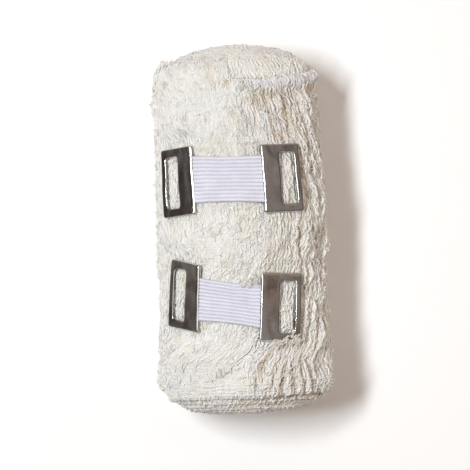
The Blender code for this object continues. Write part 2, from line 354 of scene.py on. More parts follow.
def cloth_point(length, station, rise, gap, floor=0.0):
    """Points a rise above the form of the cloth, kept a gap below the clips and above a floor."""
    length, station, rise = np.broadcast_arrays(length, station, rise)
    layer = np.floor(length / ROUND)
    back = length / ROUND - layer
    cut = read_row(CUT_END, station)[0]
    angle = cut - 360.0 * back
    signed = (angle + 180.0) % 360.0 - 180.0
    centre_x, centre_z, half_width, half_height = section(station)
    outward_x = np.sin(np.radians(angle))
    outward_z = np.cos(np.radians(angle))
    over = TURN * (0.5 - back) + swell(signed, station) + rise
    x = centre_x + outward_x * (half_width + over)
    z = centre_z + outward_z * (half_height + over)
    points = press_under_bands(press_under_plates(np.stack((x, station, z), axis=-1), gap), gap)
    points[..., 2] = np.maximum(points[..., 2], floor)
    centre = np.stack((centre_x, points[..., 1], centre_z), axis=-1)
    reach = np.linalg.norm(points - centre, axis=-1)
    radius = np.hypot(outward_x * half_width, outward_z * half_height)
    cut_radius = np.hypot(np.sin(np.radians(cut)) * half_width, np.cos(np.radians(cut)) * half_height)
    depth = np.minimum(layer * TURN * radius / cut_radius, reach - 0.4)
    share = (1.0 - depth / reach) * rim_shrink(station)
    points = centre + (points - centre) * share[..., None]
    points[..., 2] = np.maximum(points[..., 2], floor)
    return points


def selvedges(length):
    """The stations of the cloth's lower and upper selvedge at a length."""
    turns = np.asarray(length, float) / ROUND
    share = np.clip(1.0 - turns * TURN / RADIUS, 0.0, 1.0)
    wobble = 0.16 * np.sin(turns * 9.1) + 0.14 * np.sin(turns * 23.7 + 1.0) + 0.1 * np.sin(turns * 51.3)
    lower = read_row(LOWER_RIM, share)[0] + wobble
    upper = read_row(UPPER_RIM, share)[0] + wobble
    upper = upper + (read_row(LAST_UPPER, turns)[0] - upper) * fade(turns, 1.02, 0.1)
    lower = lower + (read_row(LAST_LOWER, turns)[0] - lower) * fade(turns, 0.42, 0.2)
    return lower, upper


def warp(length, station):
    """How far a ridge has wandered along the cloth, which is less by the cut end."""
    from_cut = abs((length / ROUND + 0.5) % 1.0 - 0.5) * ROUND
    wide = 1.5 * ripple(length, station, 34.0, 60.0, 21)
    fine = 0.35 * ripple(length, station, 9.0, 18.0, 22)
    return (wide + fine) * ease(from_cut, 0.0, 16.0)


def calm(length, station):
    """1 in the windows of the right clip plates, where the cloth is drawn smooth, and 0 elsewhere."""
    along = bell(station, 14.0, 8.5) + bell(station, -23.1, 8.5)
    return bell((length / ROUND) % 1.0, 0.946, 0.024) * along


def coarseness(length, station):
    """How coarse the crepe is: fine where the last turn ends, coarse beside it."""
    turns = (length / ROUND) % 1.0
    coarse = 0.42 + 0.25 * ease(turns, 0.25, 0.3) + 0.4 * ease(turns, 0.72, 0.16)
    return (coarse - 0.45 * ease(turns, 0.94, 0.05)) * (1.0 - 0.5 * calm(length, station))


def right_band(turns):
    """1 where the last turn's upper selvedge is a raised band, and 0 elsewhere."""
    return ease(turns, 0.72, 0.06) * fade(turns, 0.945, 0.025)


def pleats(length, station):
    """The coarse pleats beside the cut end: crests above 0, valleys below, and 0 elsewhere."""
    turns = (length / ROUND) % 1.0
    share = (0.55 * ease(turns, 0.7, 0.08) + 0.45 * ease(turns, 0.82, 0.04)) * fade(turns, 0.955, 0.025)
    share = share * (1.0 - right_band(turns) * bell(station - selvedges(length)[1], -1.0, 3.6))
    share = share * (1.0 - calm(length, station))
    place = length - warp(length, station) + 0.7 * ripple(length, station, 9.0, 20.0, 34, 2.0)
    strength = 0.8 + 0.3 * ripple(length, station, 8.0, 16.0, 35)
    return share * strength * np.cos(tau * place / PLEAT_PITCH)


def looseness(length, station):
    """1 at the cut end and by the lower selvedge near it, where the cloth lies thin, and 0 elsewhere."""
    at_selvedge = fade(station - selvedges(length)[0], 0.0, 5.0) * fade(length / ROUND, 0.22, 0.1)
    return np.maximum(fade(length, 0.0, 10.0), at_selvedge)


def hollows(length, station):
    """How deep the creases are, which also sets the shade painted into them: the table's, the pleats' and
    those by the selvedges.
    """
    turns = length / ROUND
    depth = np.maximum(-0.3 - pleats(length, station), 0.0)
    depth = depth + 0.14 * np.maximum(ripple(length, station, 4.0, 8.0, 36) - 0.6, 0.0)
    for place, back, along, around, amount in CREASES:
        depth = depth + amount * bell(station, place, along) * bell(length, back * ROUND, around)
    # The furrow under the raised band: lowered, and painted with the band's shadow.
    depth = depth + 0.5 * right_band(turns) * bell(station - selvedges(length)[1], -4.6, 1.0)
    # The furrow where the turn below comes out from under the last selvedge: lowered, and darkened with
    # painted shade.
    cover = selvedges(np.maximum(length - ROUND, 0.0))[0]
    bared = (turns > 1.0) * ease(turns % 1.0, 0.66, 0.1)
    return depth + 0.9 * bared * bell(station - cover, -0.6, 0.7)


def big_relief(length, station):
    """The larger humps and hollows of the cloth, and the folds of its last selvedges."""
    turns = length / ROUND
    height = 0.3 * ripple(length, station, 7.0, 16.0, 31, 1.6)
    height += 0.16 * ripple(length, station, 3.5, 7.0, 32, 1.8)
    height = height * (0.55 + 0.4 * coarseness(length, station)) - 0.2
    height += 0.42 * pleats(length, station) - 0.4 * hollows(length, station)
    height += 0.75 * right_band(turns) * bell(station - selvedges(length)[1], -1.5, 1.7)
    curl = bell(turns, 0.26, 0.035) * bell(station, -43.6, 2.4)
    beside_end = ease(turns, 0.93, 0.06) * fade(turns, 1.0, 0.03)
    below_corner = bell(turns, 1.985, 0.035) * ease(station, 42.0, 2.5)
    height += 1.5 * curl + 0.3 * beside_end + 1.1 * below_corner
    cover = selvedges(np.maximum(length - ROUND, 0.0))[0]
    padded = (turns > 1.0) * fade(turns, 1.3, 0.1)
    height += 0.45 * padded * bell(station - cover, -0.2, 1.2)
    return height - 0.85 * looseness(length, station)


def ridges(length, station):
    wave = np.cos(tau * (length - warp(length, station)) / RIDGE_PITCH)
    strength = 0.17 + 0.06 * ripple(length, station, 4.0, 9.0, 33)
    return coarseness(length, station) * (strength * wave - 0.28) + 0.04


# ---- meshes


def build_mesh(name, points, *faces, **values):
    """A smooth mesh of points, arrays of faces with a row of corners each, and values of the points."""
    mesh = bpy.data.meshes.new(name)
    faces = [face for array in faces for face in np.asarray(array).tolist()]
    mesh.from_pydata((np.reshape(points, (-1, 3)) * MM).tolist(), [], faces)
    mesh.shade_smooth()
    for label, numbers in values.items():
        attribute = mesh.attributes.new(label, "FLOAT", "POINT")
        attribute.data.foreach_set("value", np.asarray(numbers, np.float32).ravel())
    return mesh


def grid_quads(rows, columns, closed=False):
    """Quads of a grid of points, row by row; a closed one joins its last row to its first."""
    row = np.arange(rows if closed else rows - 1)[:, None] * columns
    after = (row + columns) % (rows * columns)
    column = np.arange(columns - 1)[None, :]
    corners = (row + column, row + column + 1, after + column + 1, after + column)
    return np.stack(corners, axis=-1).reshape(-1, 4)


def sheet_mesh(name, outer, inner, **values):
    """A closed sheet between two grids of points, with values for both."""
    rows, columns = outer.shape[:2]
    last_edge = (outer[-1:] + inner[-1:]) / 2 + (outer[-1:] - outer[-2:-1]) * 0.3
    first_edge = (outer[:1] + inner[:1]) / 2 + (outer[:1] - outer[1:2]) * 0.3
    points = np.concatenate((outer, last_edge, inner[::-1], first_edge))
    row = np.arange(rows - 1)
    facing = 2 * rows - row
    quads = [grid_quads(2 * rows + 2, columns, closed=True)]
    triangles = []
    for column, order in ((0, -1), (columns - 1, 1)):
        cap = np.stack((row, row + 1, facing - 1, facing), axis=-1) * columns + column
        corners = np.array(((rows - 1, rows, rows + 1), (2 * rows, 2 * rows + 1, 0))) * columns + column
        quads.append(cap[:, ::order])
        triangles.append(corners[:, ::order])
    for label, grid in values.items():
        grid = np.broadcast_to(grid, outer.shape[:2])
        values[label] = np.concatenate((grid, grid[-1:], grid[::-1], grid[:1]))
    return build_mesh(name, points, np.concatenate(quads), np.concatenate(triangles), **values)


def tube_mesh(name, strands):
    """Tubes of four sides. A row of strands is their points, their radii and how much crease shade is
    painted on them.
    """
    parts = []
    count = 0
    corner = np.arange(4)
    after = (corner + 1) % 4
    turn = tau * (corner[:, None] + 0.5) / 4
    for paths, radii, tint in strands:
        number, steps = paths.shape[:2]
        tangent = unit(np.gradient(paths, axis=1))
        outward = paths - np.array((0.0, 0.0, AXIS_HEIGHT / MM))
        outward[..., 1] *= 0.05
        side = unit(np.cross(tangent, outward))
        up = np.cross(side, tangent)
        ring = np.cos(turn) * side[:, :, None, :] + np.sin(turn) * up[:, :, None, :]
        points = paths[:, :, None, :] + ring * np.broadcast_to(radii, (number, steps))[:, :, None, None]
        points[..., 2] = np.maximum(points[..., 2], 0.0)
        first = (np.arange(number) * steps * 4)[:, None, None] + count
        here = first + (np.arange(steps - 1) * 4)[None, :, None]
        walls = np.stack((here + corner, here + after, here + 4 + after, here + 4 + corner), axis=-1)
        ends = (first[:, 0] + corner[::-1], first[:, 0] + (steps - 1) * 4 + corner)
        painted_shades = np.broadcast_to(np.asarray(tint)[..., None], (number, steps, 4))
        parts.append((points.reshape(-1, 3), np.concatenate((walls.reshape(-1, 4), *ends)), painted_shades.ravel()))
        count += painted_shades.size
    points, quads, painted_shades = (np.concatenate(part) for part in zip(*parts))
    return build_mesh(name, points, quads[:, ::-1], hollow=painted_shades)


def new_object(name, data):
    thing = bpy.data.objects.new(name, data)
    bpy.context.scene.collection.objects.link(thing)
    return thing


def add_piece(mesh, material, node):
    piece = new_object(mesh.name, mesh)
    mesh.materials.append(material)
    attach(piece, "root")
    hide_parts(node)
    return piece


# ---- materials


class Nodes:
    """Short calls to build the nodes of a material or of the world."""

    def __init__(self, owner):
        owner.use_nodes = True
        self.owner = owner
        self.tree = owner.node_tree
        self.shader = self.tree.nodes.get("Principled BSDF")

    def fill(self, node, values):
        """Sets sockets of a node, or links them to the outputs of others."""
        for socket, value in values.items():
            if isinstance(value, bpy.types.NodeSocket):
                self.tree.links.new(value, node.inputs[socket])
            else:
                node.inputs[socket].default_value = value

    def add(self, kind, values, output, **settings):
        """The named output of a new node."""
        node = self.tree.nodes.new("ShaderNode" + kind)
        for name, value in settings.items():
            setattr(node, name, value)
        self.fill(node, values)
        return node.outputs[output]

    def attribute(self, name):
        return self.add("Attribute", {}, "Fac", attribute_name=name)

    def math(self, operation, *values):
        return self.add("Math", dict(enumerate(values)), "Value", operation=operation)

    def span(self, value, low, high, to_low=0.0, to_high=1.0):
        """A value, moved from one range to another."""
        values = {"Value": value, "From Min": low, "From Max": high, "To Min": to_low, "To Max": to_high}
        return self.add("MapRange", values, "Result")

    def noise(self, scale, detail=2.0, stretch=(1.0, 1.0, 1.0), roughness=0.5):
        place = self.add("TexCoord", {}, "Object")
        place = self.add("Mapping", {"Vector": place, "Scale": stretch}, "Vector")
        values = {"Vector": place, "Scale": scale, "Detail": detail, "Roughness": roughness}
        return self.add("TexNoise", values, "Fac")

    def ramp(self, value, *stops):
        colour = self.add("ValToRGB", {"Fac": value}, "Color")
        elements = colour.node.color_ramp.elements
        while len(elements) < len(stops):
            elements.new(0.5)
        for element, (place, shade) in zip(elements, stops):
            element.position = place
            element.color = (*shade, 1.0)
        return colour

    def mix(self, factor, first, second, blend="MIX"):
        values = {"Fac": factor, "Color1": first, "Color2": second}
        return self.add("MixRGB", values, "Color", blend_type=blend)

    def shade(self, factor, colour, value, *stops):
        """A colour, multiplied by a ramp."""
        return self.mix(factor, colour, self.ramp(value, *stops), "MULTIPLY")

    def weave(self):
        """Threads along and across the cloth, from 0 in the gaps between them to 1 on top."""
        waves = []
        for label, pitch in (("along", WEAVE_PITCH), ("across", WEAVE_PITCH * 1.2)):
            stray = self.math("MULTIPLY", self.noise(420.0 + pitch), 2.4)
            place = self.math("ADD", self.attribute(label), stray)
            waves.append(self.math("SINE", self.math("MULTIPLY", place, tau / pitch)))
        return self.span(self.math("ADD", *waves), -2.0, 2.0)

    def bumps(self, *rows):
        """A normal from rows of height, strength and distance, each on top of the one before."""
        below = {}
        for height, strength, distance in rows:
            values = {"Height": height, "Strength": strength, "Distance": distance}
            normal = self.add("Bump", values | below, "Normal")
            below = {"Normal": normal}
        return normal


def new_material(name, colour, roughness, metallic=0.0):
    nodes = Nodes(bpy.data.materials.new(name))
    nodes.fill(nodes.shader, {"Base Color": (*colour, 1.0), "Roughness": roughness, "Metallic": metallic})
    return nodes


def yarn_material(name, light, dark, tint, per_strand=False, woven=False):
    """Undyed cotton: mottled cream, fibrous, matt, with a soft sheen."""
    nodes = new_material(name, light, 0.88)
    colour = nodes.ramp(nodes.noise(110.0), (0.36, dark), (0.62, light))
    colour = nodes.shade(0.75, colour, nodes.noise(190.0), (0.5, WHITE), (0.72, tint))
    if per_strand:
        strand = nodes.add("NewGeometry", {}, "Random Per Island")
        colour = nodes.shade(0.8, colour, strand, (0.0, (0.9, 0.885, 0.85)), (0.5, WHITE))
    # Painted shade: the cloth turns a darker tan in its creases.
    hollow = nodes.math("MULTIPLY", nodes.attribute("hollow"), 0.5)
    painted_shade = ((0.45, (0.84, 0.75, 0.65)), (0.8, (0.6, 0.48, 0.4)))
    colour = nodes.shade(1.0, colour, hollow, (0.0, WHITE), *painted_shade)
    twist = nodes.noise(1500.0)
    fibre = nodes.noise(3400.0, 3.0, (1.0, 0.45, 1.0), 0.7)
    bumps = [(twist, 0.38, 0.0004), (fibre, 0.4, 0.00022)]
    if woven:
        weave = nodes.weave()
        # Painted shade: the colour is darker in the gaps between the threads.
        colour = nodes.shade(1.0, colour, weave, (0.3, (0.92, 0.905, 0.88)), (0.58, WHITE))
        bumps.append((weave, 0.7, 0.0004))
    looks = {
        "Base Color": colour,
        "Normal": nodes.bumps(*bumps),
        "Specular IOR Level": 0.2,
        "Subsurface Weight": 0.3,
        "Subsurface Radius": (1.0, 0.9, 0.8),
        "Subsurface Scale": 0.0006,
        "Sheen Weight": 0.25,
        "Sheen Roughness": 0.5,
    }
    nodes.fill(nodes.shader, looks)
    return nodes.owner


def elastic_material():
    nodes = new_material("ribbed_elastic", (0.7, 0.705, 0.8), 0.62)
    place = nodes.add("TexCoord", {}, "Object")
    waves = {"Vector": place, "Scale": 330.0, "Distortion": 1.2, "Detail": 1.0, "Detail Scale": 3.0}
    threads = nodes.add("TexWave", waves, "Fac", bands_direction="X")
    speckle = nodes.noise(1400.0, 2.0, (1.0, 2.0, 1.0))
    colour = nodes.ramp(nodes.noise(260.0, 3.0), (0.35, (0.71, 0.71, 0.785)), (0.65, (0.765, 0.765, 0.85)))
    # Painted shade in the furrows between the ribs.
    colour = nodes.shade(1.0, colour, nodes.attribute("groove"), (0.0, WHITE), (1.0, (0.71, 0.7, 0.75)))
    normal = nodes.bumps((threads, 0.35, 0.00012), (speckle, 0.3, 0.0001))
    nodes.fill(nodes.shader, {"Base Color": colour, "Normal": normal, "Sheen Weight": 0.15})
    return nodes.owner


def chrome_material():
    nodes = new_material("bright_plating", (0.7, 0.68, 0.66), 0.16, 1.0)
    smears = nodes.noise(240.0, 4.0, (1.0, 0.35, 1.0), 0.6)
    scratches = nodes.noise(1500.0, 3.0, (1.0, 0.06, 1.0), 0.6)
    colour = nodes.ramp(smears, (0.32, (0.6, 0.57, 0.54)), (0.62, (0.72, 0.7, 0.685)))
    roughness = nodes.span(smears, 0.42, 0.64, 0.08, 0.34)
    normal = nodes.bumps((scratches, 0.06, 0.0001), (nodes.noise(320.0), 0.1, 0.0004))
    nodes.fill(nodes.shader, {"Base Color": colour, "Roughness": roughness, "Normal": normal})
    return nodes.owner


# ---- cloth


def spread(length, share):
    """A grid of places on the cloth: lengths, stations and how far inside the selvedges they are."""
    lower, upper = selvedges(length)
    station = lower + (upper - lower) * share
    return np.broadcast_to(length, station.shape), station, np.minimum(station - lower, upper - station)


def add_cloth(name, material, length, station, rise, thickness, hollow):
    """A closed sheet of the cloth, as thick as it reaches inwards from its outer face."""
    outer = cloth_point(length, station, rise, CLOTH_GAP + 0.3)
    centre_x, centre_z, _, _ = section(outer[..., 1])
    centre = np.stack((centre_x, outer[..., 1], centre_z), axis=-1)
    inner = outer - unit(outer - centre) * np.asarray(thickness)[..., None]
    mesh = sheet_mesh(name, outer, inner, hollow=hollow, along=length, across=station)
    return add_piece(mesh, material, "crepe_roll")


def make_outer_turn(material):
    columns, rows = 390, 82
    length = np.linspace(OUTER_TURNS * ROUND, 0.0, columns)[None, :]
    length, station, edge = spread(length, np.linspace(0, 1, rows)[:, None])
    rounding = 0.35 * bell(edge, 0.0, 0.6) + 0.45 * bell(length, 0.0, 0.8)
    rise = big_relief(length, station) + ridges(length, station) - rounding
    thickness = CLOTH_THICKNESS - 0.45 * looseness(length, station)
    return add_cloth("outer_turn", material, length, station, rise, thickness, hollows(length, station))


def make_wound_turns(material):
    turns = np.linspace(TURNS, OUTER_TURNS, 820)[None, :]
    half = np.array((0, 0.006, 0.014, 0.026, 0.045, 0.08, 0.17, 0.34, 0.5))
    share = np.concatenate((half, 1.0 - half[-2::-1]))[:, None]
    length, station, edge = spread(turns * ROUND, share)
    bared = fade(turns, 1.8)
    relief = big_relief(length, station) + ridges(length, station)
    rise = (0.12 * ripple(length, station, 5.0, 12.0, 41) - 0.45) * (1.0 - bared) + relief * bared
    rise = rise - HIDDEN_SINK * ease(edge, 6.0, 8.0)
    # Painted shade in the gaps beside the selvedges of the wound turns, at the rims.
    selvedge_gap_shade = np.where(share > 0.5, 0.2, 0.4) * bell(edge, 0.3, 0.7)
    hollow = hollows(length, station) * bared + selvedge_gap_shade
    return add_cloth("wound_turns", material, length, station, rise, CLOTH_THICKNESS, hollow)


# ---- yarns


def lay(length, station, height, gap, floor, radii, painted_shade=1.0):
    """Yarns at a height above the cloth: their points, their radii and the shade painted on them in the
    creases.
    """
    paths = cloth_point(length, station, height + big_relief(length, station), CLOTH_GAP + gap, floor)
    return paths, radii, painted_shade * hollows(length, station)


def crimp(place, shortest, longest, draw, size=1.0):
    """How far each yarn is on in its own waves, as an angle."""
    shape = (len(place), 1)
    wavelength = draw.uniform(shortest, longest, shape) * size
    return tau * place / wavelength + draw.uniform(0, tau, shape)


def ridge_lengths(first, last):
    number = round((last - first) / RIDGE_PITCH)
    return (first + (np.arange(number) + 0.5) * RIDGE_PITCH)[:, None]


def ridge_yarns(draw, first, last):
    """Crimped yarns that run from selvedge to selvedge on the crests of the ridges."""
    start = ridge_lengths(first, last)
    turns = start / ROUND
    lower, upper = selvedges(start)
    station = lower + 0.3 + (upper - lower - 0.6) * np.linspace(0, 1, 195)
    theta = crimp(station, 2.2, 3.4, draw) + 1.3 * wander(station, 6.0, 14.0, draw)
    strength = np.clip(1.0 + 0.45 * wander(station, 5.0, 12.0, draw), 0.2, 1.8)
    straighter = 1.0 - (0.35 + 0.25 * fade(turns, 0.86, 0.06)) * ease(turns, 0.7, 0.1)
    length = start + warp(start, station) + 0.34 * straighter * strength * np.sin(theta)
    height = 0.24 * wander(station, 4.0, 9.0, draw) + 0.12 * np.sin(theta * 2.0 + 1.0) - 0.04
    thicker = 0.06 * ease(turns, 0.72, 0.1) * fade(turns, 0.95, 0.03)
    radii = 0.31 + thicker + 0.03 * wander(station, 3.0, 8.0, draw)
    return lay(length, station, height * coarseness(length, station) - 0.14, 0.1, 0.3, radii)


def curly_yarns(draw, number, steps, fine, first, last):
    """Shorter yarns that curl about on top of the ridges and dive under at both ends."""
    lowest, span = -49.0, 97.0
    shorter, skew, closer, thinner = (0.45, 32.0, 0.65, 0.75) if fine else (1.0, 13.0, 1.0, 1.0)
    cells = math.ceil(math.sqrt(number * (last - first) / span))
    rows = math.ceil(number / cells)
    cell = np.stack(np.meshgrid(np.arange(cells), np.arange(rows)), axis=-1).reshape(-1, 2)
    shape = (len(cell), 1)
    start = first + (cell[:, :1] + draw.uniform(0, 1, shape)) * (last - first) / cells
    middle = lowest + (cell[:, 1:] + draw.uniform(0, 1, shape)) * span / rows
    share = np.linspace(-1, 1, steps)
    reach = draw.uniform(5.0, 11.0, shape) * shorter * share
    tilt = np.tan(np.radians(np.clip(draw.normal(0.0, skew, shape), -60.0, 60.0)))
    lean = draw.normal(0.0, 0.9, shape)
    place = middle + reach
    theta = crimp(place, 1.9, 3.2, draw, closer) + 1.2 * wander(place, 4.0, 10.0, draw)
    strength = np.clip(1.0 + 0.5 * wander(place, 4.0, 10.0, draw), 0.1, 2.0)
    strength = strength * (1.0 - 0.35 * ease(start / ROUND, 0.7, 0.1))
    length = start + warp(start, place) + tilt * reach + lean * share**2
    length = length + 0.42 * strength * np.sin(theta)
    lower, upper = selvedges(length)
    station = np.clip(place + 0.38 * strength * np.cos(theta + 0.6), lower + 0.1, upper - 0.1)
    dive = 0.85 * ease(abs(share), 0.75, 0.25)
    height = 0.2 + 0.2 * np.sin(theta * 0.5 + 2.0) + 0.2 * wander(place, 3.0, 7.0, draw) - dive
    height = 0.55 * height - 0.08 if fine else coarseness(length, station) * height
    return lay(length, station, height, -0.1, 0.24, draw.uniform(0.19, 0.27, shape) * thinner)


def scattered(draw, number, first, last):
    """Random places on the last turn, as lengths and stations."""
    start = draw.uniform(first, last, number)
    lower, upper = selvedges(start)
    return start, lower + (upper - lower) * draw.uniform(0.01, 0.99, number)


def along_rim(draw, number):
    """The same by the last turn's upper selvedge near its end."""
    start = draw.uniform(0.5, 0.35 * ROUND, number)
    return start, selvedges(start)[1] + draw.normal(-0.3, 0.8, number)


def snarled(draw):
    """The same in the snarls of the table, and how far they are lifted."""
    station, turns, lift = np.repeat(np.array(SNARLS), LOOPS_PER_SNARL, axis=0).T
    start = turns * ROUND + draw.normal(0.0, 0.8, len(turns))
    return start, station + draw.normal(0.0, 0.7, len(turns)), lift[:, None]


def fuzz_loops(draw, places, size=1.0):
    """Loose loops of thin yarn that stand off the cloth."""
    start, middle = (column[:, None] for column in places[:2])
    lift = places[2] if places[2:] else 0.0
    shape = start.shape
    share = np.linspace(0, 1, 11)
    span = size * draw.uniform(0.5, 2.2, shape)
    swing = size * draw.uniform(0.5, 1.5, shape)
    heading = draw.uniform(0, tau, shape)
    along = span * (share - 0.5)
    across = swing * np.sin(tau * share * draw.uniform(0.55, 1.15, shape))
    length = start + warp(start, middle) + along * np.cos(heading) - across * np.sin(heading)
    station = middle + along * np.sin(heading) + across * np.cos(heading)
    height = lift - 0.3 + np.sin(pi * share) * draw.uniform(0.6, 1.15, shape)
    return lay(length, station, height, -0.2 - lift, 0.15, size * draw.uniform(0.1, 0.16, shape))


def selvedge_yarn(draw, upper_side):
    """The looped yarn that binds a selvedge, from the cut end in to the core."""
    turns = np.linspace(0, TURNS, 20001)
    reach = ROUND * (turns - turns**2 * TURN / RADIUS / 2)
    steps = int(reach[-1] / BINDING_PITCH * 6)
    arc = np.linspace(0, reach[-1], steps)[None, :]
    turns = np.interp(arc, reach, turns)
    length = turns * ROUND
    theta = tau * arc / BINDING_PITCH + 1.4 * wander(arc, 6.0, 14.0, draw)
    band = right_band(turns) if upper_side else 0.0
    size = 0.42 + 0.12 * fade(turns, 2.0, 1.5) + 0.35 * band
    size = size * (1.0 + 0.2 * wander(arc, 2.5, 6.0, draw))
    edge = selvedges(length)[int(upper_side)]
    outwards = 1.0 if upper_side else -1.0
    station = edge + outwards * (size * np.sin(theta) - 0.1 - 0.6 * band)
    length = length + 0.5 * np.sin(theta + 1.2)
    rise = big_relief(length, edge) - 0.65 + 0.55 * band + size * np.cos(theta)
    return cloth_point(length, station, rise, CLOTH_GAP, 0.2), 0.2 + 0.08 * band, 0.0


def band_loops(draw):
    """The close loops on the raised band of the last turn's upper selvedge."""
    strand = np.arange(3)[:, None]
    length = np.linspace(0.74 * ROUND, 0.96 * ROUND, 440) + np.zeros(strand.shape)
    theta = tau * length / BAND_LOOP_PITCH + strand * 2.0 + wander(length, 4.0, 9.0, draw)
    size = 1.35 + 0.15 * wander(length, 3.0, 7.0, draw)
    station = selvedges(length)[1] - 1.5 + size * np.sin(theta)
    height = big_relief(length, station) + 0.2 + 0.2 * np.cos(theta) - 0.2 * np.sin(theta) ** 2
    return cloth_point(length + 0.45 * np.cos(theta), station, height, CLOTH_GAP, 0.2), 0.21, 0.0


def fringe_yarns(draw, number):
    """Frayed yarns past the cut end, which curl on to the turn below."""
    shape = (number, 1)
    middle = np.sort(draw.uniform(-36.0, 42.0, shape), axis=0)
    share = np.linspace(0, 1, 34)
    reach = draw.uniform(1.0, 4.0, shape)
    rake = np.clip(draw.normal(2.0, 2.5, shape), -3.0, 6.0)
    theta = tau * share * draw.uniform(1.2, 3.0, shape) + draw.uniform(0, tau, shape)
    length = 2.0 - (reach + 2.0) * share + 0.5 * np.sin(theta)
    station = middle + rake * share + 0.5 * np.cos(theta)
    on_cloth = np.maximum(length, 0.0)
    fall = (TURN - 0.5) * ease(-length, 0.0, 2.0)
    height = 0.05 - fall + 0.15 * np.sin(theta * 1.3) + big_relief(on_cloth, station)
    paths = cloth_point(length, station, height, CLOTH_GAP - 0.1, 0.24)
    # The frayed yarns take the painted crease shade of the cloth below them.
    return paths, draw.uniform(0.17, 0.25, shape), hollows(on_cloth, station)


def bared_yarns(draw, upper_side):
    """The yarns of the turn below, where a selvedge of the last turn leaves them bare."""
    start = ridge_lengths(ROUND, 2.3 * ROUND)
    edge = selvedges(start)[int(upper_side)]
    cover = selvedges(start - ROUND)[int(upper_side)] - (1.6 if upper_side else -1.6)
    station = cover + (edge - cover) * np.linspace(0, 1, 20)
    theta = crimp(station, 2.2, 3.4, draw) + 1.2 * wander(station, 4.0, 9.0, draw)
    length = start + warp(start, station) + 0.36 * np.sin(theta)
    height = 0.15 * np.sin(theta * 2.0) - 0.15 + 0.15 * wander(station, 4.0, 9.0, draw)
    return lay(length, station, height, 0.0, 0.3, 0.28)


def edge_yarns(draw):
    """The yarns that run along the cloth just inside its lower selvedge."""
    inside = np.array((0.9, 1.9, 2.8, 3.9))[:, None]
    length = np.linspace(0.3 * ROUND, 1.5 * ROUND, 640) + np.zeros(inside.shape)
    station = selvedges(length)[0] + inside + 0.2 * wander(length, 6.0, 20.0, draw)
    height = 0.12 + 0.12 * wander(length, 2.0, 5.0, draw)
    # These yarns take 0.6 of the painted crease shade.
    return lay(length, station, height, 0.0, 0.25, 0.2, 0.6)


def make_yarns(yarn, selvedge):
    """All the pieces of yarn, from seeds, counts and lengths along the cloth."""
    first, half = 0.4, ROUND / 2
    pieces = {
        "ridge_yarns_1": [ridge_yarns(seeded(51), first, half)],
        "ridge_yarns_2": [ridge_yarns(seeded(52), half, ROUND)],
        "curly_yarns_1": [curly_yarns(seeded(61), 340, 46, True, first, half)],
        "curly_yarns_2": [curly_yarns(seeded(62), 225, 62, False, half, ROUND)],
        "fuzz": [
            fuzz_loops(seeded(81), scattered(seeded(86), 700, 0.5, ROUND)),
            fuzz_loops(seeded(91), scattered(seeded(92), 400, 0.5, 0.28 * ROUND)),
            fuzz_loops(seeded(93), scattered(seeded(94), 460, 0.72 * ROUND, ROUND)),
            fuzz_loops(seeded(95), scattered(seeded(96), 60, 0.84 * ROUND, 0.97 * ROUND), size=1.7),
            fuzz_loops(seeded(87), snarled(seeded(88))),
            fuzz_loops(seeded(89), along_rim(seeded(90), 90)),
        ],
        "loose_yarns": [
            fringe_yarns(seeded(82), 90),
            bared_yarns(seeded(83), True),
            bared_yarns(seeded(84), False),
            edge_yarns(seeded(85)),
        ],
        "selvedge_yarns": [
            selvedge_yarn(seeded(71), True),
            selvedge_yarn(seeded(72), False),
            band_loops(seeded(73)),
        ],
    }
    made = []
    for name, strands in pieces.items():
        material = selvedge if name == "selvedge_yarns" else yarn
        made.append(add_piece(tube_mesh(name, strands), material, "crepe_roll"))
    return made


# ---- clips


def make_elastic(name, band, material):
    """One elastic band with its ribs, which reaches under both plates."""
    margin = 0.022
    across = np.linspace(-1, 1, RIBS * 6 + 1)[:, None]
    along = np.linspace(-margin, 1.0 + margin, 40)[None, :]
    draw = seeded(len(name) * 7 + ord(name[0]))
    swerve = 0.006 * ripple(along * 30.0, across * 3.0, 6.0, 14.0, int(draw.integers(1000)))
    profile = abs(np.sin((across + 1.0) / 2 * RIBS * pi)) ** 0.8
    edge = 1.0 - 0.5 * bell(1.0 - abs(across), 0.0, 0.03)
    beads = 0.02 * np.sin(along * 90.0 + across * 40.0)
    top = band_point(along, across + swerve, band, -0.16 + (0.52 * profile + beads) * edge)
    bottom = band_point(along, across + swerve, band, -BAND_THICKNESS / 2 + 0.08 - 0.08 * profile)
    # The furrows between the ribs carry their painted shade.
    mesh = sheet_mesh(name + "_ribs", top, bottom, groove=(1.0 - profile) ** 2)
    return add_piece(mesh, material, name)


def rounded_rectangle(width, length, corner):
    """Points around a rounded rectangle, and the outward direction at each."""
    turn = np.arange(4)[:, None] * pi / 2 + np.linspace(0, pi / 2, CORNER_POINTS)
    outward = np.stack((np.cos(turn), np.sin(turn)), axis=-1)
    middle = np.array(((1, 1), (-1, 1), (-1, -1), (1, -1))) * (width / 2 - corner, length / 2 - corner)
    arcs = middle[:, None] + outward * corner
    share = np.linspace(0, 1, SIDE_POINTS + 2)[1:-1, None]
    sides = arcs[:, -1:] * (1 - share) + np.roll(arcs, -1, axis=0)[:, :1] * share
    points = np.concatenate((arcs, sides), axis=1)
    outward = np.concatenate((outward, np.repeat(outward[:, -1:], SIDE_POINTS, axis=1)), axis=1)
    return points.reshape(-1, 2), outward.reshape(-1, 2)


def side_values(outwards, upper_end, values):
    """Values around a rectangle from those of its four sides, eased at the corners."""
    across, along = outwards.T
    facing = np.stack((-across, across, upper_end * along, -upper_end * along), axis=-1)
    weight = ease(facing, 0.4, 0.5)
    return weight @ np.array(values) / weight.sum(axis=1)


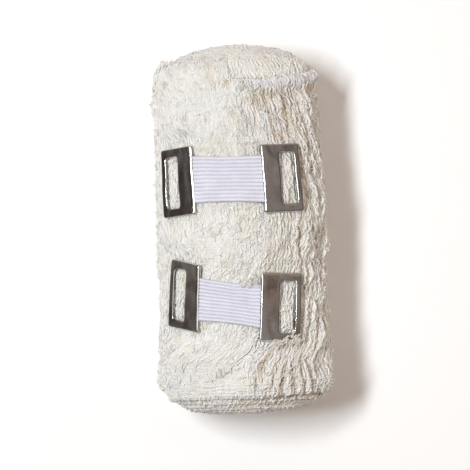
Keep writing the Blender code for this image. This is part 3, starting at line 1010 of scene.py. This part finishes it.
def make_plate(name, frame, material):
    """One clip plate: skirt, bends, top and window rim of bent sheet."""
    _, edge_bends, window_bends, twist = PLATES[name]
    outer, outer_out = rounded_rectangle(PLATE_WIDTH, PLATE_LENGTH, PLATE_CORNER)
    window, window_out = rounded_rectangle(WINDOW_WIDTH, WINDOW_LENGTH, WINDOW_CORNER)
    window = window + (WINDOW_X, 0.0)
    upper_end = 1.0 if "right" in name else -1.0
    bend = side_values(outer_out, upper_end, edge_bends)
    window_bend = side_values(window_out, upper_end, window_bends)
    drop = np.minimum(bend, EDGE_DROP)
    window_drop = np.minimum(window_bend, WINDOW_DROP)
    rim = (outer, -outer_out)
    hole = (window, window_out)

    def ring(edge, inset, height):
        """Points at a height, inset into the sheet from the plate's rim or from its window's."""
        points, inwards = edge
        points = points + inwards * np.broadcast_to(inset, bend.shape)[:, None]
        return np.column_stack((points, np.broadcast_to(height, bend.shape)))

    def bent(edge, width, depth, turn):
        return ring(edge, width * (1 - math.cos(turn)), -depth * (1 - math.sin(turn)))

    def between(share, height):
        start = ring(rim, bend, height)
        return start + (ring(hole, window_bend, height) - start) * share

    turns = np.linspace(0, pi / 2, BEND_STEPS)
    rings = [ring(rim, 0.0, -PLATE_DEPTH)]
    rings += [bent(rim, bend, drop, turn) for turn in turns]
    rings += [between(share, 0.0) for share in (0.08, 0.35, 0.65, 0.92)]
    rings += [bent(hole, window_bend, window_drop, turn) for turn in turns[::-1]]
    rings += [
        ring(hole, 0.0, -WINDOW_DEPTH),
        ring(hole, SHEET, -WINDOW_DEPTH),
        ring(hole, SHEET + 0.1, -SHEET - np.maximum(window_drop - 0.3, 0.05)),
        between(0.85, -SHEET),
        between(0.15, -SHEET),
        ring(rim, SHEET + 0.35 * (bend - SHEET), -SHEET - 0.35 * (drop - SHEET)),
        ring(rim, SHEET, -np.maximum(drop, SHEET + 0.1)),
        ring(rim, SHEET, -PLATE_DEPTH),
    ]
    local = np.array(rings)
    x, y = local[..., 0], local[..., 1]
    dents = 0.055 * ripple(x, y, 6.0, 14.0, sum(ord(letter) for letter in name))
    crown = 0.18 * (1.0 - (y / (PLATE_LENGTH / 2)) ** 2)
    local[..., 2] += dents + crown + twist * x * y - 0.12
    count = local.shape[1]
    quads = grid_quads(len(rings), count + 1, closed=True)
    quads = quads // (count + 1) * count + quads % (count + 1) % count
    mesh = build_mesh(name + "_metal", local @ frame[:3, :3].T + frame[:3, 3], quads)
    return add_piece(mesh, material, name)


# ---- stage


def make_camera():
    camera = bpy.data.cameras.new("camera")
    camera.sensor_width = SENSOR_WIDTH
    camera.lens = SENSOR_WIDTH * CAMERA_DISTANCE / MM * PIXELS_PER_MM / IMAGE_WIDTH
    camera.clip_start = 0.05
    camera.clip_end = 20.0
    thing = new_object("camera", camera)
    thing.location = (VIEW_CENTRE[0] * MM, VIEW_CENTRE[1] * MM, AXIS_HEIGHT + CAMERA_DISTANCE)
    thing.rotation_euler = (0.0, 0.0, math.radians(CAMERA_TURN))
    bpy.context.scene.camera = thing


def make_floor():
    corners = ((-1, -1, 0), (1, -1, 0), (1, 1, 0), (-1, 1, 0))
    mesh = build_mesh("floor", np.array(corners) * FLOOR_REACH, [(0, 1, 2, 3)])
    mesh.materials.append(new_material("floor", (0.98, 0.98, 0.98), 0.7).owner)
    floor = new_object("floor", mesh)
    floor.visible_glossy = False


def make_reflected_room():
    """The room that the bright metal mirrors: a sphere that only mirrored rays see."""
    rows, columns = 24, 49
    down = np.linspace(0.01, pi - 0.01, rows)[:, None]
    turn = np.linspace(0, tau, columns)[None, :]
    points = np.broadcast_arrays(np.sin(down) * np.cos(turn), np.sin(down) * np.sin(turn), np.cos(down))
    mesh = build_mesh("reflected_room", np.stack(points, axis=-1) * ROOM_RADIUS, grid_quads(rows, columns))
    nodes = Nodes(bpy.data.materials.new("reflected_room"))
    nodes.tree.nodes.remove(nodes.shader)
    place = nodes.add("TexCoord", {}, "Object")
    direction = nodes.add("VectorMath", {0: place}, "Vector", operation="NORMALIZE")
    parts = nodes.add("SeparateXYZ", {0: direction}, "X").node.outputs
    height = nodes.span(parts["Z"], -1.0, 1.0)
    side = nodes.span(parts["X"], -0.35, 0.35)
    colour = nodes.mix(side, nodes.ramp(height, *ROOM_LEFT), nodes.ramp(height, *ROOM_RIGHT))
    beige = nodes.math("MULTIPLY", nodes.span(parts["Y"], 0.3, 0.6), side)
    colour = nodes.mix(beige, colour, (0.36, 0.3, 0.235, 1.0))
    streaks = nodes.add("TexNoise", {"Vector": direction, "Scale": 14.0, "Detail": 4.0}, "Fac")
    strength = nodes.span(streaks, 0.4, 0.6, 0.7, 1.35)
    light = nodes.add("Emission", {"Color": colour, "Strength": strength}, "Emission")
    nodes.fill(nodes.tree.nodes["Material Output"], {"Surface": light})
    mesh.materials.append(nodes.owner)
    room = new_object("reflected_room", mesh)
    for rays in ("camera", "diffuse", "transmission", "volume_scatter", "shadow"):
        setattr(room, "visible_" + rays, False)


def make_light():
    nodes = Nodes(bpy.data.worlds.new("studio"))
    direction = nodes.add("TexCoord", {}, "Generated")
    towards = {0: direction, 1: (0.4, 0.7, -0.6)}
    brighter = nodes.add("VectorMath", towards, "Value", operation="DOT_PRODUCT")
    strength = nodes.span(brighter, -1.0, 1.0, 0.45, 1.55)
    background = nodes.tree.nodes["Background"]
    nodes.fill(background, {"Color": (0.455, 0.37, 0.318, 1.0), "Strength": strength})
    bpy.context.scene.world = nodes.owner
    for name, place, width, height, energy, colour in PANELS:
        light = bpy.data.lights.new(name, "AREA")
        light.shape = "RECTANGLE"
        light.size = width
        light.size_y = height
        light.energy = energy
        light.color = colour
        thing = new_object(name, light)
        thing.location = place
        thing.rotation_euler = (-thing.location).to_track_quat("-Z", "Y").to_euler()
        thing.visible_glossy = name == "key"
    bpy.context.scene.view_settings.view_transform = "Standard"


def main():
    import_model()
    make_camera()
    make_floor()
    make_reflected_room()
    make_light()

    cream = (0.975, 0.975, 0.9)
    cloth = yarn_material("crepe_cloth", (0.9, 0.888, 0.862), (0.875, 0.855, 0.81), cream, woven=True)
    yarn = yarn_material("crepe_yarn", (0.9, 0.889, 0.868), (0.87, 0.855, 0.82), cream, per_strand=True)
    selvedge = yarn_material("selvedge_yarn", (0.9, 0.895, 0.915), (0.86, 0.85, 0.87), (0.98, 0.97, 0.99))
    elastic = elastic_material()
    chrome = chrome_material()

    outer = make_outer_turn(cloth)
    wound = make_wound_turns(cloth)
    yarns = make_yarns(yarn, selvedge)
    for name, band in BAND_FRAMES.items():
        piece = make_elastic(name, band, elastic)
    for name, frame in PLATE_FRAMES.items():
        make_plate(name, frame, chrome)


main()
